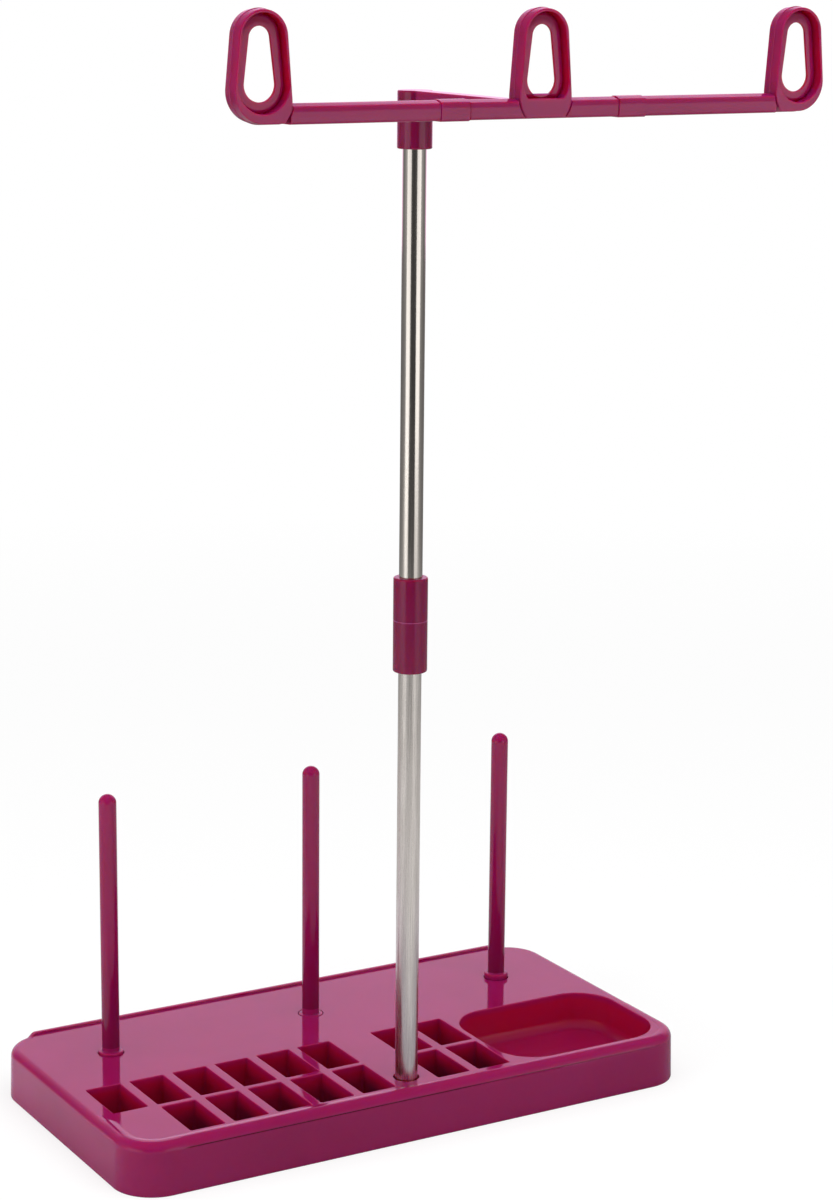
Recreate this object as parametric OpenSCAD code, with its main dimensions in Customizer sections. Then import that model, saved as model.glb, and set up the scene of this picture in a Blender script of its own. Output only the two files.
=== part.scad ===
// Thread rack: a moulded base with bobbin cells and a tray, three spool pins, a two-part steel pole
// and a turning head with three thread guides. Millimetres, +Z up, resting on z = 0.

/* [Base] */
// Height of the base, from the table to its deck
base_h = 18.2; // [16:0.1:26]
// Radius of the base's upright corners
corner_r = 15; // [12:0.5:22]
// Radius of the rounded edge round the deck
edge_r = 3; // [2.2:0.1:4]
// Slope of the base's outer walls, in degrees
draft = 1.5; // [0:0.1:3]
// Thickness of the base's outer walls
wall = 2.2; // [1.5:0.1:3]
// Thickness of the deck
deck_t = 2; // [1.5:0.1:3]
// Distance from the cells to the base's back
back_strip = 58.8; // [52:0.1:80]
// Distance from the cells to the base's front
front_margin = 7.6; // [7:0.1:12]
// Height of the lip along the back edge, above the deck
lip_h = 0.8; // [0.3:0.1:3]
// Thickness of the lip
lip_t = 1.6; // [1:0.1:3]
// Distance from the base's sides to the ends of the lip
lip_inset = 13; // [8:0.5:40]

/* [Bobbin cells] */
// Width of one cell
cell_w = 12.8; // [11:0.1:16]
// Length of one cell, front to back
cell_l = 23.1; // [20:0.1:28]
// Rib between cells side by side
cell_rib = 3.7; // [2:0.1:6]
// Rib between the back row and the front row
row_rib = 2.5; // [1.6:0.1:5]
// Cells left of the pole in the back row; the front row has one fewer
left_cells = 6; // [3:1:9]
// Cells right of the pole in each row
right_cells = 2; // [1:1:4]
// Thickness of the cells' floors and outer walls
cell_wall = 1.5; // [1:0.1:2]
// Height of the cells' floors above the table
cell_floor = 2.2; // [2:0.1:6]
// Distance from the base's left side to the first cell
cell_margin = 8.7; // [7:0.1:20]

/* [Tray] */
// Length of the tray
tray_l = 64.4; // [45:0.1:100]
// Distance from the last cell to the tray
tray_gap = 2.2; // [1.6:0.1:8]
// Distance from the tray to the base's right side
tray_margin = 5.6; // [5.5:0.1:15]
// Distance from the tray to the base's front
tray_front = 5.9; // [5.5:0.1:12]
// Radius of the tray's upright corners
tray_r = 15; // [8:0.5:20]
// Radius between the tray's floor and walls
tray_floor_r = 4; // [1:0.1:5]
// Depth of the tray below the deck
tray_depth = 13.4; // [8:0.1:13.5]

/* [Spool pins] */
// Diameter of the pins
pin_d = 6.3; // [5:0.1:8]
// Height of a fully seated pin above the deck
pin_h = 94.8; // [70:0.1:140]
// Distance between neighbouring pins
pin_pitch = 80.7; // [60:0.1:83]
// Distance from the row of pins to the base's back
pin_back = 30.7; // [20:0.1:40]
// Diameter of the pin's collar
collar_d = 9; // [8.5:0.1:11]
// Height of the pin's collar
collar_h = 2.2; // [1.5:0.1:3]
// Radial gap round the collar in its recess
collar_gap = 0.2; // [0.15:0.05:0.4]
// Diameter of the spigot under the collar
spigot_d = 5; // [3:0.1:6]
// Length of the spigot
spigot_l = 11; // [6:0.1:11.5]
// Radial clearance of the spigot in its socket
spigot_gap = 0.03; // [0.01:0.01:0.05]
// How far the left pin stands out of its seat
left_rise = 0.9; // [0.1:0.1:3]
// How far the middle pin stands out of its seat
middle_rise = 0.1; // [0.1:0.1:3]
// How far the right pin stands out of its seat
right_rise = 2; // [0.1:0.1:3]

/* [Pole] */
// Gap between the left and right cells, where the pole stands
pole_gap = 17.2; // [16:0.1:24]
// Distance from the left cells to the pole's axis
pole_side = 7.7; // [7.6:0.1:8.4]
// Distance from the pole's axis to the base's front
pole_front = 13.8; // [11:0.1:20]
// Outer diameter of the tubes
tube_d = 7.9; // [7:0.1:8.2]
// Wall of the tubes
tube_wall = 0.6; // [0.4:0.05:1]
// Radial clearance of the lower tube in the base
socket_gap = 0.04; // [0.01:0.01:0.1]
// Radial width of the open ring round the tube's foot
foot_ring = 0.6; // [0.3:0.1:0.8]
// Depth of that ring
foot_ring_depth = 1.2; // [0.5:0.1:3]
// Height of the coupling's seam above the deck
seam_h = 164; // [100:1:220]
// Height of the hub's lower end above the deck
hub_base_h = 321.4; // [230:1:420]
// Diameter of the two coupling collars
coupling_d = 11.7; // [10.5:0.1:14]
// Height of the lower collar
lower_collar_h = 17.8; // [10:0.1:25]
// Height of the upper collar
upper_collar_h = 14.8; // [10:0.1:25]
// Length of the coupling's spigot in the lower tube
plug_l = 22; // [12:0.5:40]
// Length of the coupling's core in the upper tube
core_l = 11; // [6:0.5:13]
// Thickness of the floor that carries the upper tube
seat_t = 1.5; // [1:0.1:3]
// Radial clearance where the pole's halves slide together
slide_gap = 0.05; // [0.02:0.01:0.1]
// Gap round pieces that are pressed together
press_gap = 0.02; // [0.01:0.01:0.05]

/* [Foot fixing] */
// Length of the plug inside the lower tube's foot
foot_plug_l = 12; // [8:0.5:30]
// Thread diameter of the screw
screw_d = 4; // [3:0.1:4.5]
// Length of the screw below its head
screw_l = 10; // [6:0.5:11]
// Diameter of the screw's head
screw_head_d = 7; // [6:0.1:7.8]
// Height of the screw's head
screw_head_h = 1.9; // [1.2:0.1:2.1]
// Diameter of the washer
washer_d = 8.6; // [8:0.1:8.9]
// Thickness of the washer
washer_t = 0.6; // [0.4:0.1:0.8]
// Thickness of the base under the tube
socket_floor = 1.6; // [1:0.1:3]

/* [Guide head] */
// Diameter of the hub
hub_d = 11.6; // [10.5:0.1:15]
// Height of the hub
hub_h = 18.8; // [14:0.1:30]
// Thickness of the hub's top
hub_top = 2; // [1.5:0.1:4]
// Radial clearance of the hub on the upper tube
hub_gap = 0.05; // [0.02:0.01:0.1]
// Width of the arm
arm_w = 6; // [4:0.1:8]
// Distance from the pole's axis to the guides' front face
reach = 78.4; // [50:0.1:120]
// Height of the bar
bar_h = 6; // [5:0.1:8]
// Height of the arm
arm_h = 4.9; // [4:0.1:5]
// How far the guides stand out in front of the bar and behind it
face_step = 0.3; // [0.1:0.1:0.8]
// Distance between neighbouring guides
guide_pitch = 95.5; // [70:0.1:130]
// Front to back thickness of a guide
guide_t = 6.7; // [6:0.1:10]
// Width of a guide
guide_w = 19.2; // [17:0.1:26]
// Height of a guide
guide_h = 33; // [30:0.1:45]
// Radius of the round top of a guide
guide_top_r = 8.2; // [6:0.1:8.4]
// Thickness of a guide's rim
rim_t = 1.3; // [1:0.1:2]
// Thickness of the web in the middle of a guide
web_t = 1; // [0.8:0.1:2.5]
// Height of the guide's floor below its pocket
pocket_floor = 3.1; // [2:0.1:4]
// Width of the thread hole at its foot
hole_w = 10; // [6:0.1:11]
// Width of the thread hole at its top
hole_top_w = 6.8; // [4:0.1:8]
// Height of the thread hole
hole_h = 21.5; // [15:0.1:23]
// Height of the guides' lower arc where it crosses the bar
cross_h = 6.6; // [6:0.1:9]
// Height of the flat floor inside the middle guide
ledge_h = 6; // [5:0.1:6.4]

/* [Bar sockets] */
// Distance from the middle guide to the end of the middle bar
middle_half_l = 36.6; // [30:0.1:60]
// Length of the thicker sleeve at each end
sleeve_l = 9.9; // [6:0.1:11]
// How far the sleeve stands out round the bar
sleeve_step = 0.25; // [0.1:0.05:0.6]
// Side of the square tenon on an outer guide
tenon = 3.6; // [2.5:0.1:4]
// Length of the tenon
tenon_l = 9; // [5:0.1:10]
// Clearance round the tenon
tenon_gap = 0.05; // [0.02:0.01:0.1]

/* [Hidden] */
$fn = 96;
eps = 0.01;
plastic = [0.60, 0.12, 0.33];
steel = [0.72, 0.70, 0.67];
dark_plastic = [0.15, 0.14, 0.15];

// the base, laid out from left to right and from back to front
pitch = cell_w + cell_rib;
left_l = left_cells * pitch - cell_rib;
right_l = right_cells * pitch - cell_rib;
base_l = cell_margin + left_l + pole_gap + right_l + tray_gap + tray_l + tray_margin;
base_w = back_strip + 2 * cell_l + row_rib + front_margin;
left_x = -base_l / 2 + cell_margin;
right_x = left_x + left_l + pole_gap;
tray_x = right_x + right_l + tray_gap;
back_row_y = base_w / 2 - back_strip;
front_row_y = back_row_y - cell_l - row_rib;
tray_w = base_w - back_strip - tray_front;
rib_t = wall;
lip_back = base_w / 2 - base_h * tan(draft);
boss_r = collar_d / 2 + collar_gap + 1.4;

// the pole and the pins
pole_x = left_x + left_l + pole_side;
pole_y = -base_w / 2 + pole_front;
pin_y = base_w / 2 - pin_back;
pin_socket = spigot_l + collar_h;
tube_r = tube_d / 2;
tube_in_r = tube_r - tube_wall;
socket_r = tube_r + socket_gap;
pole_boss_r = tube_r + foot_ring + 1.9;
washer_seat = washer_t + screw_head_h + 1;
tube_z = washer_seat + socket_floor;
seam_z = base_h + seam_h;
flange_t = 1;
coupling_r = coupling_d / 2;
sliding_r = tube_in_r - slide_gap;
tube_top_z = base_h + hub_base_h + hub_h - hub_top;

// the head, whose bar rests at this height
bar_z = base_h + hub_base_h + hub_h - arm_h;
bar_front = -reach + face_step;
bar_t = guide_t - 2 * face_step;
guide_r = guide_w / 2;
pocket_r = guide_r - rim_t;
pocket_arc_h = pocket_floor + pocket_r;
hole_r = hole_w / 2;
hole_top_r = hole_top_w / 2;
hole_top_h = pocket_arc_h - hole_r + hole_h - hole_top_r;
tenon_z = bar_h / 2;
socket_depth = tenon_l + 0.2;

// the stand's footprint runs from the guides' face to the base's back
frame_y = (reach - pole_y - base_w / 2) / 2;

// Section from an upright axis out to a sloping wall with a rounded top edge
module edge_section(run, h, edge) {
    in = run - (edge + (h - edge) * sin(draft)) / cos(draft);
    translate([in, h - edge]) circle(edge);
    polygon([
        [0, 0], [run, 0], [in + edge * cos(draft), h - edge + edge * sin(draft)],
        [in, h - edge], [in, h], [0, h]
    ]);
}

// Slab on z = 0, centred, with round upright corners and a rounded top edge
module rounded_slab(l, w, h, r, edge) {
    x = l / 2 - r;
    y = w / 2 - r;
    translate([-x - 1, -y - 1, 0]) cube([2 * x + 2, 2 * y + 2, h]);
    for (c = [[x, y, 0, y], [-x, y, 90, x], [-x, -y, 180, y], [x, -y, 270, x]])
        translate([c[0], c[1], 0]) rotate(c[2]) {
            rotate_extrude(angle = 90) edge_section(r, h, edge);
            rotate([90, 0, 0]) linear_extrude(2 * c[3]) edge_section(r, h, edge);
        }
}

// Slab on z = 0, centred, with round upright corners
module plain_slab(l, w, h, r) {
    translate([-l / 2 + r, -w / 2, 0]) cube([l - 2 * r, w, h]);
    translate([-l / 2, -w / 2 + r, 0]) cube([l, w - 2 * r, h]);
    for (x = [-1, 1], y = [-1, 1])
        translate([x * (l / 2 - r), y * (w / 2 - r), 0]) cylinder(h = h, r = r);
}

// Corner at the left front of each cell
function cell_corners() = concat(
    [for (i = [0 : left_cells - 1]) [left_x + i * pitch, back_row_y - cell_l]],
    [for (i = [1 : left_cells - 1]) [left_x + i * pitch, front_row_y - cell_l]],
    [for (i = [0 : right_cells - 1]) [right_x + i * pitch, back_row_y - cell_l]],
    [for (i = [0 : right_cells - 1]) [right_x + i * pitch, front_row_y - cell_l]]
);

function pin_place(i) = [pole_x + (i - 1) * pin_pitch, pin_y];

module tray_place(z) {
    translate([tray_x + tray_l / 2, back_row_y - tray_w / 2, z]) children();
}

// What stands under the deck: the cells' walls, the tray's, the bosses and their ribs
module base_inside() {
    low = cell_floor - cell_wall;
    under_deck = base_h - deck_t / 2;
    for (c = cell_corners())
        translate([c[0] - cell_rib / 2, c[1] - cell_wall, low])
            cube([cell_w + cell_rib, cell_l + cell_wall + row_rib / 2, under_deck - low]);
    tray_place(base_h - tray_depth - cell_wall)
        plain_slab(tray_l + 2 * cell_wall, tray_w + 2 * cell_wall, tray_depth, tray_r + cell_wall);
    for (i = [0 : 2]) translate(pin_place(i)) {
        translate([0, 0, base_h - pin_socket - cell_wall])
            cylinder(h = pin_socket - deck_t / 2 + cell_wall, r = boss_r);
        translate([-rib_t / 2, back_row_y - pin_y, cell_floor])
            cube([rib_t, back_strip - wall, under_deck - cell_floor]);
    }
    translate([pole_x, pole_y, 1]) cylinder(h = under_deck - 1, r = pole_boss_r);
}

// Round seat, socket and screw hole for the pole
module pole_socket() {
    translate([0, 0, tube_z]) cylinder(h = base_h, r = socket_r);
    translate([0, 0, base_h - foot_ring_depth]) cylinder(h = base_h, r = tube_r + foot_ring);
    translate([0, 0, -eps]) cylinder(h = tube_z + 1, r = screw_d / 2 + 0.25);
    translate([0, 0, -eps]) cylinder(h = washer_seat + eps, r = washer_d / 2 + 0.15);
}

module base_tray() color(plastic) difference() {
    union() {
        difference() {
            rounded_slab(base_l, base_w, base_h, corner_r, edge_r);
            translate([0, 0, -eps])
                rounded_slab(base_l - 2 * wall, base_w - 2 * wall, base_h - deck_t + eps,
                    corner_r - wall, 0.8);
        }
        base_inside();
        translate([lip_inset - base_l / 2, lip_back - lip_t, base_h - edge_r])
            cube([base_l - 2 * lip_inset, lip_t, edge_r + lip_h]);
    }
    for (c = cell_corners()) translate([c[0], c[1], cell_floor]) cube([cell_w, cell_l, base_h]);
    tray_place(base_h + 1) mirror([0, 0, 1])
        rounded_slab(tray_l, tray_w, tray_depth + 1, tray_r, tray_floor_r);
    for (i = [0 : 2]) translate(pin_place(i)) {
        translate([0, 0, base_h - pin_socket]) cylinder(h = base_h, r = spigot_d / 2 + spigot_gap);
        translate([0, 0, base_h - collar_h]) cylinder(h = base_h, r = collar_d / 2 + collar_gap);
    }
    translate([pole_x, pole_y, 0]) pole_socket();
}

// Spool pin with its collar and spigot, from its seat up
module spool_pin(place, rise) {
    color(plastic) translate([place[0], place[1], base_h - collar_h + rise]) {
        translate([0, 0, -spigot_l]) cylinder(h = spigot_l + eps, r = spigot_d / 2);
        cylinder(h = collar_h, r = collar_d / 2);
        cylinder(h = collar_h + pin_h - pin_d / 2, r = pin_d / 2);
        translate([0, 0, collar_h + pin_h - pin_d / 2]) sphere(pin_d / 2);
    }
}

module tube(low, high) {
    color(steel) translate([pole_x, pole_y, low]) difference() {
        cylinder(h = high - low, r = tube_r);
        translate([0, 0, -1]) cylinder(h = high - low + 2, r = tube_in_r);
    }
}

module foot_screw() color(steel) translate([pole_x, pole_y, washer_seat - washer_t]) {
    cylinder(h = screw_l, r = screw_d / 2);
    difference() {
        translate([0, 0, -screw_head_h]) cylinder(h = screw_head_h, r = screw_head_d / 2);
        for (a = [0, 90]) rotate(a) translate([-screw_d / 2, -0.5, -screw_head_h - 1])
            cube([screw_d, 1, screw_head_h * 0.6 + 1]);
    }
}

module foot_washer() color(steel) translate([pole_x, pole_y, washer_seat - washer_t])
    difference() {
        cylinder(h = washer_t, r = washer_d / 2);
        translate([0, 0, -1]) cylinder(h = washer_t + 2, r = screw_d / 2 + 0.2);
    }

module foot_plug() color(dark_plastic) translate([pole_x, pole_y, tube_z]) difference() {
    cylinder(h = foot_plug_l, r = tube_in_r - press_gap);
    translate([0, 0, -1]) cylinder(h = foot_plug_l + 2, r = screw_d / 2 + press_gap);
}

module lower_coupling() color(plastic) translate([pole_x, pole_y, seam_z - lower_collar_h])
    difference() {
        cylinder(h = lower_collar_h, r = coupling_r);
        translate([0, 0, -1])
            cylinder(h = lower_collar_h - flange_t + 1, r = tube_r + press_gap);
        cylinder(h = lower_collar_h + 1, r = tube_in_r);
    }

module upper_coupling() color(plastic) translate([pole_x, pole_y, seam_z]) {
    difference() {
        cylinder(h = upper_collar_h, r = coupling_r);
        translate([0, 0, seat_t]) cylinder(h = upper_collar_h, r = tube_r + press_gap);
    }
    cylinder(h = seat_t + core_l, r = tube_in_r - press_gap);
    translate([0, 0, -plug_l]) cylinder(h = plug_l + eps, r = sliding_r);
}

// Outline of two circles, one above the other, and the straight sides that touch both
module teardrop(low_r, low_h, top_r, top_h) {
    lean = asin((low_r - top_r) / (top_h - low_h));
    translate([0, low_h]) circle(low_r);
    translate([0, top_h]) circle(top_r);
    polygon([
        [-low_r * cos(lean), low_h + low_r * sin(lean)],
        [low_r * cos(lean), low_h + low_r * sin(lean)],
        [top_r * cos(lean), top_h + top_r * sin(lean)],
        [-top_r * cos(lean), top_h + top_r * sin(lean)]
    ]);
}

// Stands an outline up, from a front face back by a thickness
module upright(front, t) {
    translate([0, front + t, 0]) rotate([90, 0, 0]) linear_extrude(t) children();
}

// Outline of a guide where it crosses the bar, cut off level with the bar
module guide_outline() {
    difference() {
        teardrop(guide_r, cross_h, guide_top_r, guide_h - guide_top_r);
        translate([-guide_w, -guide_w]) square([2 * guide_w, guide_w]);
    }
}

// Outline of a guide at the end of the bar, round below on its free side
module end_outline() {
    intersection() {
        guide_outline();
        translate([-guide_w, -guide_w]) square([guide_w, 3 * guide_h]);
    }
    intersection() {
        teardrop(guide_r, guide_r, guide_top_r, guide_h - guide_top_r);
        translate([0, -guide_w]) square([guide_w, 3 * guide_h]);
    }
}

// Hollows in the front and the back of a guide, with its web between them
module guide_pockets() {
    deep = (guide_t - web_t) / 2;
    for (y = [-reach - 1, -reach + guide_t - deep]) upright(y, deep + 1)
        teardrop(pocket_r, pocket_arc_h, guide_top_r - rim_t, guide_h - guide_top_r);
}

// Hole through the web, for the thread
module thread_hole() {
    upright(-reach - 1, guide_t + 2) teardrop(hole_r, pocket_arc_h, hole_top_r, hole_top_h);
}

module bar(from, to, grow) {
    translate([from, bar_front - grow, -grow])
        cube([to - from, bar_t + 2 * grow, bar_h + 2 * grow]);
}

// Square tenon or its socket, along the bar from x = 0
module tenon_block(l, gap) {
    side = tenon + 2 * gap;
    translate([0, bar_front + bar_t / 2 - side / 2, tenon_z - side / 2]) cube([l, side, side]);
}

module at_head() translate([pole_x, pole_y, bar_z]) children();

module guide_hub() color(plastic) at_head() difference() {
    union() {
        translate([0, 0, arm_h - hub_h]) cylinder(h = hub_h, r = hub_d / 2);
        translate([-arm_w / 2, -reach + guide_t / 2, 0])
            cube([arm_w, reach - guide_t / 2, arm_h]);
        bar(-middle_half_l, middle_half_l, 0);
        for (side = [0, 1]) mirror([side, 0, 0])
            bar(middle_half_l - sleeve_l, middle_half_l, sleeve_step);
        upright(-reach, guide_t) guide_outline();
    }
    translate([0, 0, arm_h - hub_h - 1])
        cylinder(h = hub_h - hub_top + 1, r = tube_r + hub_gap);
    difference() {
        guide_pockets();
        translate([-guide_r, -reach - 2, 0]) cube([guide_w, guide_t + 4, ledge_h]);
    }
    thread_hole();
    for (side = [0, 1]) mirror([side, 0, 0])
        translate([middle_half_l - socket_depth, 0, 0])
            tenon_block(socket_depth + 1, tenon_gap);
}

// Outer guide on the right of the head; the left one is its mirror image
module outer_guide() at_head() difference() {
    union() {
        bar(middle_half_l, guide_pitch, 0);
        translate([middle_half_l - tenon_l, 0, 0]) tenon_block(tenon_l + 1, 0);
        translate([guide_pitch, 0, 0]) upright(-reach, guide_t) end_outline();
    }
    translate([guide_pitch, 0, 0]) guide_pockets();
    translate([guide_pitch, 0, 0]) thread_hole();
}

module left_guide() color(plastic)
    translate([pole_x, 0, 0]) mirror([1, 0, 0]) translate([-pole_x, 0, 0]) outer_guide();

module in_frame() translate([0, frame_y, 0]) children();

in_frame() base_tray();
in_frame() spool_pin(pin_place(0), left_rise);  // pin_left
in_frame() spool_pin(pin_place(1), middle_rise);  // pin_middle
in_frame() spool_pin(pin_place(2), right_rise);  // pin_right
in_frame() foot_screw();
in_frame() foot_washer();
in_frame() foot_plug();
in_frame() tube(tube_z, seam_z - flange_t);  // lower_tube
in_frame() lower_coupling();
in_frame() upper_coupling();
in_frame() tube(seam_z + seat_t, tube_top_z);  // upper_tube
in_frame() guide_hub();
in_frame() left_guide();
in_frame() color(plastic) outer_guide();  // right_guide
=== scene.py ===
import math
from functools import partial

import bmesh
import bpy
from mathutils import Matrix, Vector


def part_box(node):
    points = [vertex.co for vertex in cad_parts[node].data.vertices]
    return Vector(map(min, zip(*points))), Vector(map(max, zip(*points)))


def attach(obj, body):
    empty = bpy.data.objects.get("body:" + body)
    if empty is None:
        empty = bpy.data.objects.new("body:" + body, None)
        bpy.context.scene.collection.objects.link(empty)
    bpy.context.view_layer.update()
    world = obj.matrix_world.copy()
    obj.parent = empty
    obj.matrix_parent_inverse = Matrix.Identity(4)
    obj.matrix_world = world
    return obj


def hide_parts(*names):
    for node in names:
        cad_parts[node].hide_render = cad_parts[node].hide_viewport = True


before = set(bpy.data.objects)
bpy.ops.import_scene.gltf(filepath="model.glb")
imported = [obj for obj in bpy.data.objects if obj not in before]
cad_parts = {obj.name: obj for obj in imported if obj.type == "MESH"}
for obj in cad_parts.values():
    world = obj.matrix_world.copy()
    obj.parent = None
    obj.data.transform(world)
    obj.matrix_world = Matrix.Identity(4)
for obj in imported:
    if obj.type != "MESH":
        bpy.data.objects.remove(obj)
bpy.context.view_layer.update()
mm = 0.001  # all shapes below are drawn in millimetres
meshing = {"weld": 1e-5, "axisWeld": 1e-4, "sharpAngle": 32, "evenWeight": 80, "leastR": 0.02}


# small helpers

def smoothStep(x):
    x = min(max(x, 0.0), 1.0)
    return x * x * (3 - 2 * x)


def mix(a, b, t):
    return a + (b - a) * t


def mixPair(p, q, t):
    return mix(p[0], q[0], t), mix(p[1], q[1], t)


def arc(cx, cy, r, start, end, steps):
    # points on an arc, angles in degrees
    angles = [math.radians(mix(start, end, i / steps)) for i in range(steps + 1)]
    return [(cx + r * math.cos(a), cy + r * math.sin(a)) for a in angles]


def quarter(steps):
    # sine and cosine over a quarter turn, for roundings
    angles = [math.radians(90 * i / steps) for i in range(steps + 1)]
    return [(math.sin(a), math.cos(a)) for a in angles]


def circleLoop(x, y, r, z, steps=64):
    angles = [2 * math.pi * i / steps for i in range(steps)]
    return [(x + r * math.cos(a), y + r * math.sin(a), z) for a in angles]


def nodeRound(name):
    # centre, radius, foot and top of an upright round node
    low, high = (Vector(corner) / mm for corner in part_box(name))
    return ((low.x + high.x) / 2, (low.y + high.y) / 2), (high.x - low.x) / 2, low.z, high.z


def newObject(name, bm):
    bmesh.ops.remove_doubles(bm, verts=bm.verts, dist=meshing["weld"])
    bmesh.ops.recalc_face_normals(bm, faces=bm.faces)
    mesh = bpy.data.meshes.new(name)
    bm.to_mesh(mesh)
    bm.free()
    obj = bpy.data.objects.new(name, mesh)
    bpy.context.scene.collection.objects.link(obj)
    return obj


def finishPiece(obj, material, body, nodes, sharpAngle=meshing["sharpAngle"]):
    mesh = obj.data
    for v in mesh.vertices:
        v.co *= mm
    mesh.shade_smooth()
    mesh.set_sharp_from_angle(angle=math.radians(sharpAngle))
    mesh.materials.clear()
    mesh.materials.append(material)
    weighted = obj.modifiers.new("evenShading", "WEIGHTED_NORMAL")
    weighted.keep_sharp = True
    weighted.weight = meshing["evenWeight"]
    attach(obj, body)
    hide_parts(*nodes)
    return obj


def addLoop(bm, points):
    return [bm.verts.new(p) for p in points]


def bridge(bm, a, b):
    n = len(a)
    for i in range(n):
        j = (i + 1) % n
        bm.faces.new((a[i], a[j], b[j], b[i]))


def loft(bm, loops, capStart=True, capEnd=True, closed=False):
    rings = [addLoop(bm, points) for points in loops]
    for a, b in zip(rings, rings[1:]):
        bridge(bm, a, b)
    if closed:
        bridge(bm, rings[-1], rings[0])
    else:
        if capStart:
            bm.faces.new(rings[0])
        if capEnd:
            bm.faces.new(list(reversed(rings[-1])))
    return rings


def loftObject(name, loops, closed=False):
    bm = bmesh.new()
    loft(bm, loops, closed=closed)
    return newObject(name, bm)


def lathe(name, profile, centre, steps=96, closed=False):
    # profile is a list of (radius, height); radius 0 at an end closes it in a point
    bm = bmesh.new()
    loft(bm, [circleLoop(*centre, max(r, 0.0), z, steps) for r, z in profile], closed=closed)
    bmesh.ops.remove_doubles(bm, verts=bm.verts, dist=meshing["axisWeld"])
    return newObject(name, bm)


def roundedProfile(corners, steps=5):
    # polyline of (x, y, radius) with its corners rounded
    out = []
    n = len(corners)
    for i, (x, y, r) in enumerate(corners):
        if r <= 0 or i in (0, n - 1):
            out.append((x, y))
            continue
        p = Vector((x, y))
        a = (Vector(corners[i - 1][:2]) - p).normalized()
        b = (Vector(corners[i + 1][:2]) - p).normalized()
        half = math.acos(max(-1, min(1, a.dot(b)))) / 2
        cut = r / math.tan(half)
        centre = p + (a + b).normalized() * (r / math.sin(half))
        start = p + a * cut - centre
        end = p + b * cut - centre
        a0 = math.atan2(start.y, start.x)
        a1 = math.atan2(end.y, end.x)
        turn = (a1 - a0 + math.pi) % (2 * math.pi) - math.pi
        for k in range(steps + 1):
            t = a0 + turn * k / steps
            out.append((centre.x + r * math.cos(t), centre.y + r * math.sin(t)))
    return out


def boolean(target, cutter, operation):
    mod = target.modifiers.new("join", "BOOLEAN")
    mod.operation = operation
    mod.solver = "EXACT"
    mod.object = cutter
    graph = bpy.context.evaluated_depsgraph_get()
    done = bpy.data.meshes.new_from_object(target.evaluated_get(graph))
    target.modifiers.clear()
    old = target.data
    target.data = done
    bpy.data.meshes.remove(old)
    bpy.data.objects.remove(cutter)
    return target


# materials

def feed(node, inputs):
    # an input takes a plain value or another node's output
    for name, value in inputs.items():
        socket = node.inputs[name]
        if isinstance(value, bpy.types.NodeSocket):
            node.id_data.links.new(value, socket)
        elif socket.type == "RGBA":
            socket.default_value = (*value, 1)
        else:
            socket.default_value = value


def newNode(tree, kind, inputs=None, **settings):
    node = tree.nodes.new("ShaderNode" + kind)
    for name, value in settings.items():
        setattr(node, name, value)
    feed(node, inputs or {})
    return node


def nodeMaterial(name):
    mat = bpy.data.materials.new(name)
    mat.use_nodes = True
    tree = mat.node_tree
    tree.nodes.clear()
    shader = newNode(tree, "BsdfPrincipled")
    newNode(tree, "OutputMaterial", {"Surface": shader.outputs["BSDF"]})
    return mat, tree, shader, newNode(tree, "TexCoord").outputs["Object"]


def noise(tree, where, scale, detail, stretch=None):
    if stretch:
        where = newNode(tree, "Mapping", {"Scale": stretch, "Vector": where}).outputs["Vector"]
    return newNode(tree, "TexNoise", {"Scale": scale, "Detail": detail, "Vector": where}).outputs["Fac"]


def ramp(tree, value, stops):
    node = newNode(tree, "ValToRGB", {"Fac": value})
    while len(node.color_ramp.elements) < len(stops):
        node.color_ramp.elements.new(0.5)
    for element, (place, colour) in zip(node.color_ramp.elements, stops):
        element.position = place
        element.color = (*colour, 1)
    return node.outputs["Color"]


def mapRange(tree, value, low, high, fromLow=0.3, fromHigh=0.7):
    inputs = {"Value": value, "From Min": fromLow, "From Max": fromHigh, "To Min": low, "To Max": high}
    return newNode(tree, "MapRange", inputs).outputs["Result"]


def mathNode(tree, operation, *values):
    return newNode(tree, "Math", dict(enumerate(values)), operation=operation).outputs[0]


def axesOf(tree, vector):
    node = newNode(tree, "SeparateXYZ", {0: vector})
    return [node.outputs[k] for k in "XYZ"]


def mixColour(tree, factor, a, b):
    return newNode(tree, "Mix", {"Factor": factor, "A": a, "B": b}, data_type="RGBA").outputs["Result"]


def mixShader(tree, factor, a, b):
    return newNode(tree, "MixShader", {"Fac": factor, 1: a, 2: b}).outputs[0]


def bump(tree, height, shader, distance, strength):
    node = newNode(tree, "Bump", {"Distance": distance, "Strength": strength, "Height": height})
    feed(shader, {"Normal": node.outputs["Normal"]})


white = (1.0, 1.0, 1.0)
plasticLook = {
    "deep": (0.262, 0.0045, 0.079), "light": (0.288, 0.0056, 0.089), "deepAt": 0.35, "lightAt": 0.65,
    "cloudScale": 24, "cloudDetail": 4, "ior": 1.46,
    "glowShare": 1.0, "glowDepth": 0.004, "glowColour": (1.0, 0.05, 0.12),
    "roughLow": 0.05, "roughHigh": 0.09, "roughScale": 60, "roughDetail": 5,
    "grainScale": 900, "grainDetail": 2, "grainDepth": 0.00002, "grainShare": 0.25,
}
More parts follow.
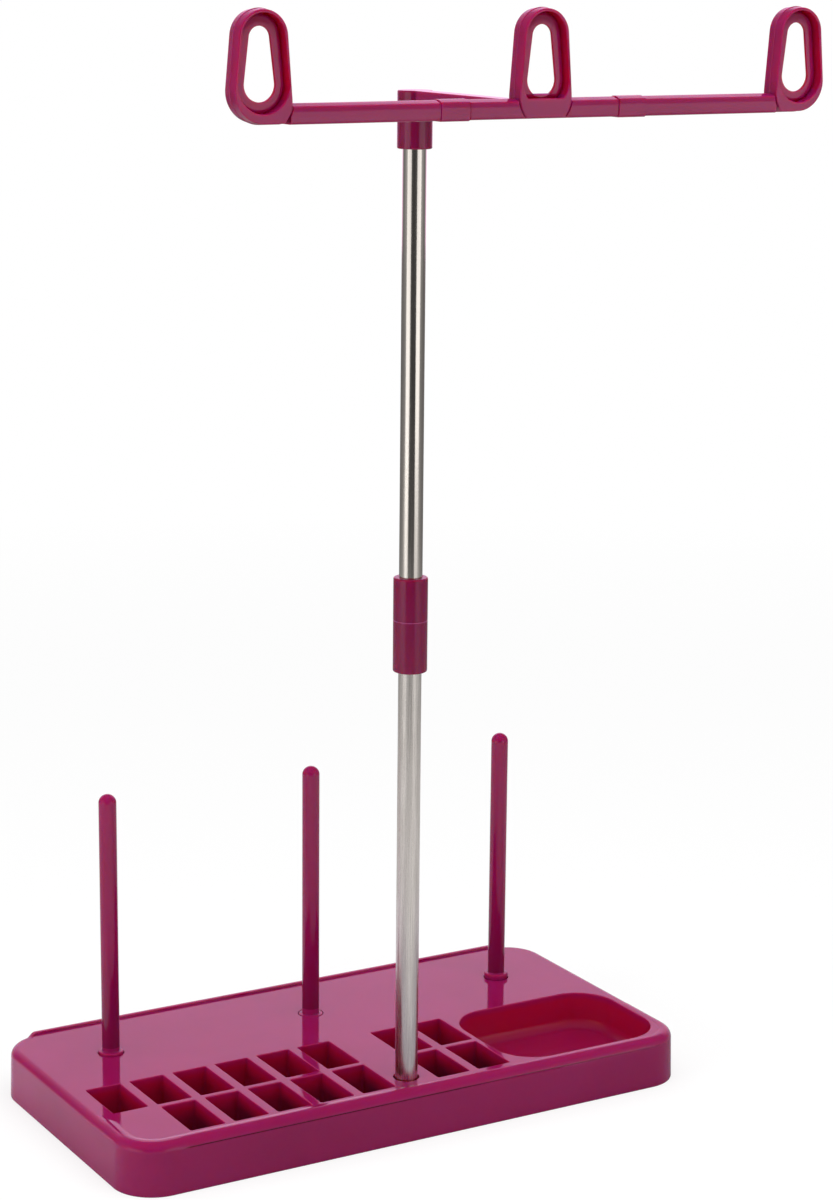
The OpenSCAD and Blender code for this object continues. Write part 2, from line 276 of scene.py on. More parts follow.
# painted light and shade on the plastic, with their places in metres
shades = {
    # painted glow: redder below the rims of the cells and the tray, for light bounced in them and passed
    # through their thin walls; also less shiny there
    "inside": {"colour": (0.39, 0.0030, 0.038), "rough": 0.10, "top": 0.0180, "low": 0.0155,
               "mid": (0.0015, 0.0323), "half": (0.105, 0.0525)},
    # painted shade: deeper further down in the cells, most of all in the front row, where less light reaches
    "cell": {"colour": (0.165, 0.0050, 0.032), "top": 0.0165, "low": 0.0116,
             "rowsY": (0.0, 0.012), "backShare": 0.3},
    # painted shade: darker on the tray's floor
    "trayFloorShade": {"colour": (0.27, 0.0032, 0.056), "fromX": 0.0405, "low": 0.0047, "top": 0.0078},
    # painted shade round the pole, on its collars and the hub, for light that the metal inside and the bar
    # above keep out; and a painted highlight on the pale line where the collars meet
    "collar": {"colour": (0.195, 0.0034, 0.055), "axis": (0.00035, -0.01145),
               "near": 0.0062, "far": 0.0075, "low": 0.1},
    # painted highlight where the collars meet
    "seam": {"colour": (0.42, 0.065, 0.20), "half": 0.00016},
    # painted shade: deeper towards the feet of the pins, near the deck
    "pinFootShade": {"colour": (0.13, 0.0030, 0.036), "share": 0.75, "pitch": 0.0807, "x": 0.00035,
                "y": 0.05915, "half": 0.0034, "low": 0.0206, "high": 0.060},
    # painted glow: redder on the guides' inward faces, for light passing through the thin rims
    "guideFaceGlow": {"colour": (0.36, 0.0045, 0.050), "pitch": 0.0955, "x": 0.00035, "z": 0.372,
                  "fromZ": 0.3605, "y": -0.0865, "half": 0.0030, "inFrom": -0.004, "inTo": -0.001},
    # painted shade: a dark line in the crease along the front, thinner to the right
    "crease": {"colour": (0.075, 0.0020, 0.020), "behindY": -0.0245, "startX": (-0.092, -0.090),
               "fadeX": (0.020, 0.090), "thin": 0.35, "z": 0.01570, "half": 0.00017},
}


def mouldedPlastic():
    look = plasticLook
    mat, tree, shader, where = nodeMaterial("mouldedPlastic")
    do = partial(mathNode, tree)
    clouds = noise(tree, where, look["cloudScale"], look["cloudDetail"])
    colour = ramp(tree, clouds, [(look["deepAt"], look["deep"]), (look["lightAt"], look["light"])])
    x, y, z = axesOf(tree, where)

    def product(first, *others):
        for value in others:
            first = do("MULTIPLY", first, value)
        return first

    def within(value, middle, reach):
        return do("LESS_THAN", do("ABSOLUTE", do("SUBTRACT", value, middle)), reach)

    def fromNearest(value, first, pitch):
        return do("WRAP", do("SUBTRACT", value, first), pitch / 2, -pitch / 2)

    # painted glow below the rims of the cells and the tray
    s = shades["inside"]
    box = product(within(x, s["mid"][0], s["half"][0]), within(y, s["mid"][1], s["half"][1]))
    inside = product(mapRange(tree, z, 1, 0, s["low"], s["top"]), box)

    # painted shade further down in the cells
    s, trayX = shades["cell"], shades["trayFloorShade"]["fromX"]
    cell = product(mapRange(tree, z, 1, 0, s["low"], s["top"]),
                   mapRange(tree, y, 1, s["backShare"], *s["rowsY"]), do("LESS_THAN", x, trayX), inside)

    # painted shade on the tray's floor
    s = shades["trayFloorShade"]
    trayFloorShade = product(mapRange(tree, z, 1, 0, s["low"], s["top"]), do("GREATER_THAN", x, trayX), inside)

    # painted shade round the pole, on the collars and the hub
    s = shades["collar"]
    offX, offY = (do("SUBTRACT", value, centre) for value, centre in zip((x, y), s["axis"]))
    fromAxis = do("SQRT", do("ADD", product(offX, offX), product(offY, offY)))
    collar = product(mapRange(tree, fromAxis, 1, 0, s["near"], s["far"]), do("GREATER_THAN", z, s["low"]))
    # painted highlight: a pale line where the two collars meet
    seam = product(collar, within(z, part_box("lower_coupling")[1][2], shades["seam"]["half"]))

    # painted shade towards the feet of the pins
    s = shades["pinFootShade"]
    pinFootShade = product(mapRange(tree, z, s["share"], 0, s["low"], s["high"]), do("GREATER_THAN", z, s["low"]),
                      within(fromNearest(x, s["x"], s["pitch"]), 0, s["half"]), within(y, s["y"], s["half"]))

    # painted glow on the guides' inward faces
    s = shades["guideFaceGlow"]
    facing = axesOf(tree, where.node.outputs["Normal"])
    outward = do("ADD", product(facing[0], fromNearest(x, s["x"], s["pitch"])),
                 product(facing[2], do("SUBTRACT", z, s["z"])))
    guideFaceGlow = product(mapRange(tree, outward, 1, 0, s["inFrom"], s["inTo"]),
                        within(y, s["y"], s["half"]), do("GREATER_THAN", z, s["fromZ"]))

    # painted shade in the crease along the front
    s = shades["crease"]
    crease = product(within(z, s["z"], s["half"]), do("LESS_THAN", y, s["behindY"]),
                     mapRange(tree, x, 0, 1, *s["startX"]), mapRange(tree, x, 1, s["thin"], *s["fadeX"]))

    # the painted light and shade, laid over each other in the order of the dictionary
    amounts = (inside, cell, trayFloorShade, collar, seam, pinFootShade, guideFaceGlow, crease)
    for shade, amount in zip(shades.values(), amounts):
        colour = mixColour(tree, amount, colour, shade["colour"])

    rough = noise(tree, where, look["roughScale"], look["roughDetail"])
    rough = mapRange(tree, rough, look["roughLow"], look["roughHigh"])
    rough = do("ADD", rough, product(inside, shades["inside"]["rough"]))
    feed(shader, {"Base Color": colour, "Roughness": rough, "IOR": look["ior"],
                  "Subsurface Weight": look["glowShare"], "Subsurface Radius": look["glowColour"],
                  "Subsurface Scale": look["glowDepth"]})
    grain = noise(tree, where, look["grainScale"], look["grainDetail"])
    bump(tree, grain, shader, look["grainDepth"], look["grainShare"])
    return mat


# marks are (scale, detail, stretch) of the noise behind colour and gloss;
# grain is the same for the noises that lift the surface, or empty where the marks do
finishes = {
    "brushedSteel": {
        "metal": 1, "dark": (0.60, 0.555, 0.515), "light": (0.86, 0.805, 0.765), "spread": (0.3, 0.7),
        "rough": (0.20, 0.32), "marks": (1, 3, (3000, 3000, 60)),
        "grain": [(1, 2, (2600, 2600, 140)), (2200, 2)], "grainDepth": 0.00003, "grainShare": 0.35,
    },
    "polishedSteel": {
        "metal": 1, "dark": (0.73, 0.675, 0.62), "light": (0.83, 0.77, 0.71), "spread": (0.3, 0.7),
        "rough": (0.10, 0.17), "marks": (1, 3, (1500, 1500, 25)),
        "grain": [(900, 3)], "grainDepth": 0.00003, "grainShare": 0.2,
    },
    "zincPlate": {
        "metal": 1, "dark": (0.52, 0.53, 0.55), "light": (0.68, 0.69, 0.70), "spread": (0.35, 0.65),
        "rough": (0.22, 0.36), "marks": (500, 3), "grain": [], "grainDepth": 0.00002, "grainShare": 0.3,
    },
    "darkPlug": {
        "metal": 0, "dark": (0.012, 0.011, 0.012), "light": (0.022, 0.020, 0.022), "spread": (0.3, 0.7),
        "rough": (0.38, 0.52), "marks": (700, 3), "grain": [], "grainDepth": 0.00002, "grainShare": 0.3,
    },
}


def markedFinish(name):
    look = finishes[name]
    mat, tree, shader, where = nodeMaterial(name)
    marks = noise(tree, where, *look["marks"])
    colour = ramp(tree, marks, list(zip(look["spread"], (look["dark"], look["light"]))))
    rough = mapRange(tree, marks, *look["rough"])
    feed(shader, {"Metallic": look["metal"], "Base Color": colour, "Roughness": rough})
    grain = [noise(tree, where, *values) for values in look["grain"]] or [marks]
    height = grain[0]
    for other in grain[1:]:
        height = mathNode(tree, "ADD", height, other)
    bump(tree, height, shader, look["grainDepth"], look["grainShare"])
    return mat


plastic = mouldedPlastic()
brushed, polished = markedFinish("brushedSteel"), markedFinish("polishedSteel")
zinc, plug = markedFinish("zincPlate"), markedFinish("darkPlug")
print("materials ready")


# base

baseTray = {
    "length": 222.7, "width": 115.1, "height": 18.2, "centreY": 32.3,
    "cornerR": 15, "edgeR": 3, "draft": 1.5, "wall": 2.2, "deckT": 2, "deckInset": 5.05,
    "mouthR": 0.35, "mouthSteps": 5, "sharpAngle": 40, "insetDigits": 4,
    "cornerSteps": 24, "sideSteps": (110, 56), "edgeSteps": 14, "rimSteps": 8,
    # bottom edge as (inset, height), then the wall as (rise along the draft, inset, height)
    "footEdge": [(0.45, 0.0), (0.12, 0.10), (0.0, 0.45)], "footWall": [(0.8, 0.03, 1.4), (2.6, 0, 2.6)],
    # lip along the back, and its ends at the sides
    "lipH": 0.8, "lipT": 1.6, "lipR": 0.35, "lipInnerR": 0.25, "lipFootR": 0.2,
    "lipEnd": 98.35, "lipPast": 3.2, "lipFade": 4.5,
    # raised rim along the front, its ends and where it is widest
    "rimH": 0.35, "rimInset": 4.6, "rimFlat": 0.5, "rimSlope": 0.35, "rimWiden": 1.6,
    "rimBehindY": -20, "rimLeftX": -90, "rimLeftY": -24, "rimLeftFade": 9,
    "rimThinX": 20, "rimThinFade": 70, "rimThin": 0.75, "rimNarrowX": -25, "rimNarrowFade": 45,
    # crease below the rim, with rows as (depth below it, share of the dip, depth below a plain edge)
    "creaseR": 3.95, "creaseTilt": 26, "creaseDip": 0.25,
    "creaseRows": [(0.42, 0, 1.4), (0.32, 1, 1.0), (0.18, 1, 0.6), (0.08, 0, 0.3)],
    "creaseSide": 1.5, "creaseFrom": -92, "creaseStart": 1.2,
    "creaseThinX": 10, "creaseThinFade": 80, "creaseThin": 0.5,
}
cells = {"w": 12.8, "l": 23.1, "pitch": 16.5, "left": 6, "right": 2, "floor": 2.2,
         "leftX": -102.65, "rightX": 9.85, "backY": -1.25, "rowRib": 2.5,
         "wallR": 0.5, "floorR": 0.7, "deepR": 2.0, "wall": 1.5, "cornerSteps": 5, "floorSteps": 4}
tray = {"x": 41.35, "l": 64.4, "w": 50.4, "backY": -1.25, "r": 15, "depth": 13.4, "draft": 1.5, "wall": 1.5,
        "mouthR": 0.45, "mouthSteps": 6, "floorR": 4, "floorSteps": 12,
        "cornerSteps": 22, "sideSteps": (10, 8)}
pole = {"x": 0.35, "y": -43.75, "socketR": 3.99, "socketZ": 5.1, "ringR": 4.55, "ringDepth": 1.2,
        "edge": 0.25, "edgeMid": 0.07, "screwR": 2.25, "washerZ": 3.5, "washerR": 4.45}
pinSeat = {"pitch": 80.7, "y": 26.85, "collarR": 4.7, "collarH": 2.2, "spigotR": 2.53, "spigotL": 11,
           "edge": 0.2, "edgeMid": 0.06, "seatGap": 0.03, "endGap": 0.3}
underside = {"fromZ": -1, "fillet": 0.8, "filletSteps": 4, "cornerSteps": 10, "throughZ": 22,
             "blockH": 20, "blockR": 0.4, "blockSteps": 3, "traySteps": 16,
             "besideRow": 1.85, "behindRow": 1.25, "rowLap": 0.6,
             "pinBossR": 6.1, "pinBossZ": 3.5, "poleBossR": 6.45, "poleBossZ": 1.0, "bossSteps": 48,
             "ribL": 60, "ribY": 29, "ribZ": 2.23, "ribR": 0.3}


def rectLoop(cx, cy, l, w, r, z, grow=0.0, cornerSteps=6, sideSteps=(1, 1)):
    # rounded rectangle, anticlockwise from the upper end of its right side
    rr = max(r + grow, meshing["leastR"])
    inX, inY = l / 2 + grow - rr, w / 2 + grow - rr
    corners = [(inX, inY), (-inX, inY), (-inX, -inY), (inX, -inY)]
    arcs = [arc(x, y, rr, 90 * k, 90 * k + 90, cornerSteps) for k, (x, y) in enumerate(corners)]
    points = []
    for k, run in enumerate(arcs):
        points += run
        steps = sideSteps[k % 2]
        points += [mixPair(run[-1], arcs[(k + 1) % 4][0], i / steps) for i in range(1, steps)]
    return [(cx + x, cy + y, z) for x, y in points]


def lipAmount(x, y):
    b = baseTray
    return smoothStep((b["lipEnd"] + b["lipPast"] - abs(x)) / b["lipFade"]) if y >= 0 else 0.0


def rimAmount(x, y):
    b = baseTray
    if y > b["rimBehindY"]:
        return 0.0
    left = smoothStep((b["rimLeftY"] - y) / b["rimLeftFade"]) if x < b["rimLeftX"] else 1.0
    return left * (1 - b["rimThin"] * smoothStep((x - b["rimThinX"]) / b["rimThinFade"]))


def creaseAmount(x, y):
    b = baseTray
    if y > -b["width"] / 2 + b["creaseSide"]:
        return 0.0
    start = smoothStep((x - b["creaseFrom"]) / b["creaseStart"])
    return start * (1 - b["creaseThin"] * smoothStep((x - b["creaseThinX"]) / b["creaseThinFade"]))


def baseProfile(x, y):
    # (inset, height) pairs from the bottom edge over the rim to the deck, at one place of the outline
    b = baseTray
    h, r, cr, steps = b["height"], b["edgeR"], b["creaseR"], b["edgeSteps"]
    draft, tilt = math.radians(b["draft"]), math.radians(b["creaseTilt"])
    slope = math.tan(draft)
    lip, rim, crease = lipAmount(x, y), rimAmount(x, y), creaseAmount(x, y)
    rise = b["rimH"] * rim
    widen = b["rimWiden"] * rim * (1 - smoothStep((x - b["rimNarrowX"]) / b["rimNarrowFade"]))
    edgeIn = (r + (h - r) * math.sin(draft)) / math.cos(draft)
    tip = (edgeIn - r * math.cos(draft), h - r + r * math.sin(draft))
    creaseZ = h - cr * (1 - math.sin(tilt))
    creaseIn = creaseZ * slope + cr * math.cos(tilt)

    low = b["footEdge"] + [(up * slope + inset, z) for up, inset, z in b["footWall"]]
    for drop, dip, plainDrop in b["creaseRows"]:
        z = mix(tip[1] - plainDrop, creaseZ - drop, crease)
        low.append((z * slope + dip * crease * b["creaseDip"], z))

    # the front and sides: a rounded edge, the rim and its slope down to the deck
    plain = []
    for i in range(steps + 1):
        t = i / steps
        a = math.radians(mix(b["draft"], 90, t))
        ac = mix(tilt, math.pi / 2, t)
        creasedZ = h - cr + (cr + rise) * math.sin(ac) - rise * math.sin(tilt) * (1 - t)
        plain.append(mixPair((edgeIn - r * math.cos(a), h - r + (r + rise) * math.sin(a)),
                             (creaseIn - cr * math.cos(ac), creasedZ), crease))
    flatIn = b["rimInset"] - b["rimFlat"]
    slopeIn = b["rimInset"] + b["rimSlope"] + widen
    plain.append((flatIn, h + rise))
    for i in range(1, b["rimSteps"] + 1):
        t = i / b["rimSteps"]
        plain.append((mix(flatIn, slopeIn, t), h + rise * (1 - smoothStep(t))))

    # the back: the wall goes on up into the lip
    lipR, innerR, footR = b["lipR"], b["lipInnerR"], b["lipFootR"]
    back, topZ = h * slope, h + b["lipH"]
    face = back + b["lipT"]
    raised = [mixPair(tip, (back, topZ - lipR), 2 * i / steps) for i in range(steps // 2)]
    raised += arc(back + lipR, topZ - lipR, lipR, 180, 90, steps - steps // 2)
    raised.append((face - innerR, topZ))
    raised += arc(face - innerR, topZ - innerR, innerR, 90, 0, b["rimSteps"] // 2)[1:]
    raised += arc(face + footR, h + footR, footR, 180, 270, b["rimSteps"] // 2)[1:]
    return low + [mixPair(p, q, lip) for p, q in zip(plain, raised)] + [(b["deckInset"] + widen, h)]


def outlineLoops():
    # the base's outer loops, from the bottom up and in to the deck
    b = baseTray

    def plan(grow):
        return rectLoop(0, 0, b["length"], b["width"], b["cornerR"], 0, grow,
                        b["cornerSteps"], b["sideSteps"])

    loops = []
    for row in zip(*[baseProfile(*point[:2]) for point in plan(0)]):
        rings = {}
        loop = []
        for n, (inset, z) in enumerate(row):
            inset = round(inset, b["insetDigits"])
            if inset not in rings:
                rings[inset] = plan(-inset)
            x, y = rings[inset][n][:2]
            loop.append((x, y + b["centreY"], z))
        loops.append(loop)
    return loops


def cellPlaces():
    # back left corners of the cells; the left front row starts one cell later
    c = cells
    front = c["backY"] - c["l"] - c["rowRib"]
    rows = [(c["leftX"], c["backY"], 0, c["left"]), (c["leftX"], front, 1, c["left"]),
            (c["rightX"], c["backY"], 0, c["right"]), (c["rightX"], front, 0, c["right"])]
    return [(x + i * c["pitch"], y) for x, y, first, count in rows for i in range(first, count)]


def cellLoops(x, y):
    # mouth, walls and floor of one cell, from the deck down; its corners get rounder with depth
    c, b = cells, baseTray
    h, m, f = b["height"], b["mouthR"], c["floorR"]
    cx, cy = x + c["w"] / 2, y - c["l"] / 2 + b["centreY"]

    def ring(r, z, grow):
        return rectLoop(cx, cy, c["w"], c["l"], r, z, grow, c["cornerSteps"])

    mouth, floor = quarter(b["mouthSteps"]), quarter(c["floorSteps"])
    loops = [ring(c["wallR"], h - m + m * cosine, m - m * sine) for sine, cosine in mouth]
    loops += [ring(c["deepR"], c["floor"] + f - f * sine, f * cosine - f) for sine, cosine in floor]
    return loops


def trayLoops():
    t, b = tray, baseTray
    h, m, f = b["height"], t["mouthR"], t["floorR"]
    bottom = h - t["depth"]
    narrow = (t["depth"] - f) * math.tan(math.radians(t["draft"]))
    cx, cy = t["x"] + t["l"] / 2, t["backY"] - t["w"] / 2 + b["centreY"]

    def ring(z, grow):
        return rectLoop(cx, cy, t["l"], t["w"], t["r"], z, grow, t["cornerSteps"], t["sideSteps"])

    mouth, floor = quarter(t["mouthSteps"]), quarter(t["floorSteps"])
    loops = [ring(h - m + m * cosine, m - m * sine) for sine, cosine in mouth]
    loops += [ring(bottom + f - f * sine, f * cosine - f - narrow) for sine, cosine in floor]
    return loops


def seatLoops(x):
    p, h = pinSeat, baseTray["height"]
    low = h - p["collarH"] - p["seatGap"]
    profile = [(p["collarR"] + p["edge"], h), (p["collarR"] + p["edgeMid"], h - p["edgeMid"]),
               (p["collarR"], h - p["edge"]), (p["collarR"], low), (p["spigotR"], low),
               (p["spigotR"], low - p["spigotL"] - p["endGap"])]
    return [circleLoop(x, p["y"] + baseTray["centreY"], r, z) for r, z in profile]


def poleLoops():
    # from the ring in the deck down the tube's socket and out through the hole of the screw
    p, h = pole, baseTray["height"]
    ring, step = p["ringR"], h - p["ringDepth"]
    profile = [(ring + p["edge"], h), (ring + p["edgeMid"], h - p["edgeMid"]), (ring, h - p["edge"]),
               (ring, step), (p["socketR"], step), (p["socketR"], p["socketZ"]), (p["screwR"], p["socketZ"]),
               (p["screwR"], p["washerZ"]), (p["washerR"], p["washerZ"]), (p["washerR"], 0)]
    return [circleLoop(p["x"], p["y"] + baseTray["centreY"], r, z) for r, z in profile]


def slab(name, x, y, z, l, w, h, r, steps):
    return loftObject(name, [rectLoop(x, y, l, w, r, z, 0, steps), rectLoop(x, y, l, w, r, z + h, 0, steps)])


def underCutter():
    # the hollow below the deck, less the cells' walls, the bosses and the ribs
    b, c, t, p, u = baseTray, cells, tray, pinSeat, underside
    cy, wall, f = b["centreY"], b["wall"], u["fillet"]
    slope = math.tan(math.radians(b["draft"]))
    turn = b["height"] - b["deckT"] - f
    l, w, r = b["length"] - 2 * wall, b["width"] - 2 * wall, b["cornerR"] - wall

    def ring(z, grow):
        return rectLoop(0, cy, l, w, r, z, grow, u["cornerSteps"])

    rings = [ring(u["fromZ"], -u["fromZ"] * slope)]
    rings += [ring(turn + f * sine, f * cosine - f - turn * slope)
              for sine, cosine in quarter(u["filletSteps"])]
    hollow = loftObject("hollow", rings)

    def across(x, count):
        x -= u["besideRow"]
        return x, x + ((count - 1) * c["pitch"] + c["w"] + 2 * u["besideRow"])

    leftX, leftEnd = across(c["leftX"], c["left"])
    rightX, rightEnd = across(c["rightX"], c["right"])
    backY, middleY = c["backY"] + u["behindRow"], c["backY"] - c["l"] - c["rowRib"] / 2
    frontY = c["backY"] - 2 * c["l"] - c["rowRib"] - c["wall"]
    rows = [(leftX, middleY, leftEnd, backY), (leftX + c["pitch"], frontY, leftEnd, middleY + u["rowLap"]),
            (rightX, frontY, rightEnd, backY)]
    blocks = [slab("block%d" % n, (x0 + x1) / 2, (y0 + y1) / 2 + cy, c["floor"] - c["wall"],
                   x1 - x0, y1 - y0, u["blockH"], u["blockR"], u["blockSteps"])
              for n, (x0, y0, x1, y1) in enumerate(rows)]
    blocks.append(slab("trayBlock", t["x"] + t["l"] / 2, t["backY"] - t["w"] / 2 + cy,
                       b["height"] - t["depth"] - t["wall"], t["l"] + 2 * t["wall"], t["w"] + 2 * t["wall"],
                       u["blockH"], t["r"] + t["wall"], u["traySteps"]))

    def boss(name, x, y, r, low):
        return loftObject(name, [circleLoop(x, y + cy, r, z, u["bossSteps"]) for z in (low, u["throughZ"])])

    for i in (-1, 0, 1):
        x = pole["x"] + i * p["pitch"]
        blocks.append(boss("boss%d" % (i + 1), x, p["y"], u["pinBossR"], u["pinBossZ"]))
        blocks.append(slab("rib%d" % (i + 1), x, c["backY"] + u["ribY"] + cy, u["ribZ"],
                           wall, u["ribL"], u["blockH"], u["ribR"], u["blockSteps"]))
    blocks.append(boss("poleBoss", pole["x"], pole["y"], u["poleBossR"], u["poleBossZ"]))
    for block in blocks:
        boolean(hollow, block, "DIFFERENCE")
    return hollow


def fillFlat(bm, boundary, holes):
    # flat face between an outer edge and the holes in it
    edges = []
    for ring in [boundary] + holes:
        for pair in zip(ring, ring[1:] + ring[:1]):
            edges.append(bm.edges.get(pair) or bm.edges.new(pair))
    bmesh.ops.triangle_fill(bm, use_beauty=True, use_dissolve=False, edges=edges, normal=(0, 0, 1))


def makeBase():
    bm = bmesh.new()
    rings = loft(bm, outlineLoops(), capStart=False, capEnd=False)
    mouths = [loft(bm, cellLoops(x, y), capStart=False)[0] for x, y in cellPlaces()]
    mouths.append(loft(bm, trayLoops(), capStart=False)[0])
    for i in (-1, 0, 1):
        mouths.append(loft(bm, seatLoops(pole["x"] + i * pinSeat["pitch"]), capStart=False)[0])
    poleRings = loft(bm, poleLoops(), capStart=False, capEnd=False)
    mouths.append(poleRings[0])
    fillFlat(bm, rings[-1], mouths)
    fillFlat(bm, rings[0], [poleRings[-1]])
    body = boolean(newObject("baseShell", bm), underCutter(), "DIFFERENCE")
    return finishPiece(body, plastic, "base", ["base_tray"], baseTray["sharpAngle"])


makeBase()
print("base ready")


# spool pins

spoolPin = {"pinR": 3.15, "collarR": 4.5, "collarH": 2.2, "spigotR": 2.5, "spigotL": 11,
            "spigotEdge": 0.5, "collarLowEdge": 0.3, "collarEdge": 0.45, "fillet": 0.35, "filletAbove": 3,
            "edgeSteps": 6, "tipSteps": 15}


def makePin(node):
    s = spoolPin
    r = s["pinR"]
    centre, _, low, high = nodeRound(node)
    seat = low + s["spigotL"]
    top = seat + s["collarH"]
    corners = [(0, low, 0), (s["spigotR"], low, s["spigotEdge"]), (s["spigotR"], seat, 0),
               (s["collarR"], seat, s["collarLowEdge"]), (s["collarR"], top, s["collarEdge"]),
               (r, top, s["fillet"]), (r, top + s["filletAbove"], 0)]
    profile = roundedProfile(corners, s["edgeSteps"]) + arc(0, high - r, r, 0, 90, s["tipSteps"])
    return finishPiece(lathe(node + "Shape", profile, centre), plastic, node, [node])


for side in ("left", "middle", "right"):
    makePin("pin_" + side)
print("pins ready")


# pole

poleParts = {"tubeWall": 0.6, "tubeEdge": 0.12, "tubeStart": 1, "tubeSteps": 3, "steps": 128,
             "couplingEdge": 0.55, "seamEdge": 0.18, "innerEdge": 0.15, "couplingSteps": 6,
             "flange": 1.0, "couplingStart": 2, "press": 0.02, "slide": 0.05,
             "plug": 22, "plugEdge": 0.6, "seat": 1.5, "core": 11, "coreEdge": 0.4}


def makeTube(node, body, material):
    p = poleParts
    centre, r, low, high = nodeRound(node)
    inR, e = r - p["tubeWall"], p["tubeEdge"]
    start = (inR, low + p["tubeStart"], 0)
    corners = [start, (inR, low, e), (r, low, e), (r, high, e), (inR, high, e), start]
    profile = roundedProfile(corners, p["tubeSteps"])[:-1]
    tube = lathe(node + "Shape", profile, centre, p["steps"], closed=True)
    return finishPiece(tube, material, body, [node])


def makeLowerCoupling():
    # a collar pressed over the tube, with a flange on its end
    p = poleParts
    centre, r, low, high = nodeRound("lower_coupling")
    tubeR = nodeRound("lower_tube")[1]
    inR, bore = tubeR - p["tubeWall"], tubeR + p["press"]
    step = high - p["flange"]
    start = (bore, low + p["couplingStart"], 0)
    corners = [start, (bore, low, p["innerEdge"]), (r, low, p["couplingEdge"]), (r, high, p["seamEdge"]),
               (inR, high, p["innerEdge"]), (inR, step, 0), (bore, step, 0), start]
    profile = roundedProfile(corners, p["couplingSteps"])[:-1]
    piece = lathe("lowerCouplingShape", profile, centre, p["steps"], closed=True)
    return finishPiece(piece, plastic, "base", ["lower_coupling"])


def makeUpperCoupling():
    # a collar round the upper tube, with a plug that slides in the lower tube and a core in the upper one
    p = poleParts
    centre, r, low, high = nodeRound("upper_coupling")
    tubeR = nodeRound("upper_tube")[1]
    coreR, bore = tubeR - p["tubeWall"] - p["press"], tubeR + p["press"]
    slideR = tubeR - p["tubeWall"] - p["slide"]
    seam = low + p["plug"]
    seat = seam + p["seat"]
    corners = [(0, low, 0), (slideR, low, p["plugEdge"]), (slideR, seam, 0), (r, seam, p["seamEdge"]),
               (r, high, p["couplingEdge"]), (bore, high, p["innerEdge"]), (bore, seat, 0), (coreR, seat, 0),
               (coreR, seat + p["core"], p["coreEdge"]), (0, seat + p["core"], 0)]
    piece = lathe("upperCouplingShape", roundedProfile(corners, p["couplingSteps"]), centre, p["steps"])
    return finishPiece(piece, plastic, "upper_pole", ["upper_coupling"])


makeTube("lower_tube", "base", brushed)
makeTube("upper_tube", "upper_pole", polished)
makeLowerCoupling()
makeUpperCoupling()
print("pole ready")


# guide head

head = {
    "x": 0.35, "y": -11.45, "barZ": 353.5, "reach": 78.4, "pitch": 95.5,
    "hubR": 5.8, "hubH": 18.8, "hubTop": 2, "hubEdge": 0.5, "hubEdgeSteps": 6, "hubSteps": 128,
    "boreR": 4.0, "boreFlare": 1.4, "boreFlareUp": 0.4, "boreBelow": 1,
    "armW": 6, "armH": 4.9, "armEdge": 0.45, "armIntoBar": 0.2, "armToHub": -1,
    # section of the bar: rounded below, slightly bulged sides and a crown on top
    "barH": 6, "faceStep": 0.3, "edgeLow": 0.75, "edgeTop": 0.3, "crownW": 2.6, "crownH": 0.75,
    "faceBulge": 0.09, "faceSteps": 6, "edgeSteps": 4,
    # sleeve on the middle bar's end, with a groove behind it and the socket in it
    "middleHalf": 36.6, "innerEnd": 12, "sleeveL": 9.9, "sleeveStep": 0.25,
    "sleeveEdge": 0.2, "sleeveEdgeMid": 0.06, "sleeveBackEdge": 0.12,
    "grooveDepth": 0.15, "grooveNear": 0.04, "grooveFar": 0.3, "grooveEnd": 0.42,
    "tenon": 3.6, "tenonL": 9, "tenonR": 0.25, "tenonSteps": 7, "tenonPoint": 0.5, "tenonPointL": 0.3,
    "tenonGap": 0.05, "socketPast": 0.2, "socketMouth": 0.15,
    "tipEdge": 0.18, "tipEdgeMid": 0.05, "intoRim": 0.6,
    # seam in the bar round the guide
    "seam": 0.25, "seamDepth": 0.35,
}
guide = {
    "t": 6.7, "lowR": 9.6, "topR": 8.2, "h": 33, "rim": 1.3, "web": 1, "floor": 3.1,
    "holeR": 5, "holeTopR": 3.4, "holeH": 21.5, "cross": 6.6, "ledge": 6, "noFloor": -50,
    "edge": 0.35, "drop": 0.34, "mouth": 0.3, "foot": 1.3, "holeEdge": 0.2, "edgeSteps": 5, "holeSteps": 3,
    "ridge": 0.18, "ridgeHalf": 0.3, "ridgePast": 0.5, "ridgeFoot": 0.25,
    "lowSteps": 22, "topSteps": 18,
}


def dropLoop(lowR, lowLeft, lowRight, topR, topH, grow, floor, y):
    # two arcs and their tangents, standing in the XZ plane at y; floor cuts the lower arc flat
    sides = []
    for lowH in (lowRight, lowLeft):
        lean = math.degrees(math.asin((lowR - topR) / (topH - lowH)))
        sides.append(arc(0, lowH, lowR + grow, -90, lean, guide["lowSteps"])
                     + arc(0, topH, topR + grow, lean, 90, guide["topSteps"]))
    right, left = sides[0], [(-x, z) for x, z in reversed(sides[1])]
    return [(x, y, max(z, floor - grow)) for x, z in right + left[1:-1]]


def guideOutline(ending, grow, y):
    # an outer guide is round at its far side and runs into the bar's height at the near one
    g = guide
    lowRight = g["lowR"] if ending else g["cross"]
    return dropLoop(g["lowR"], g["cross"], lowRight, g["topR"], g["h"] - g["topR"], grow, 0, y)


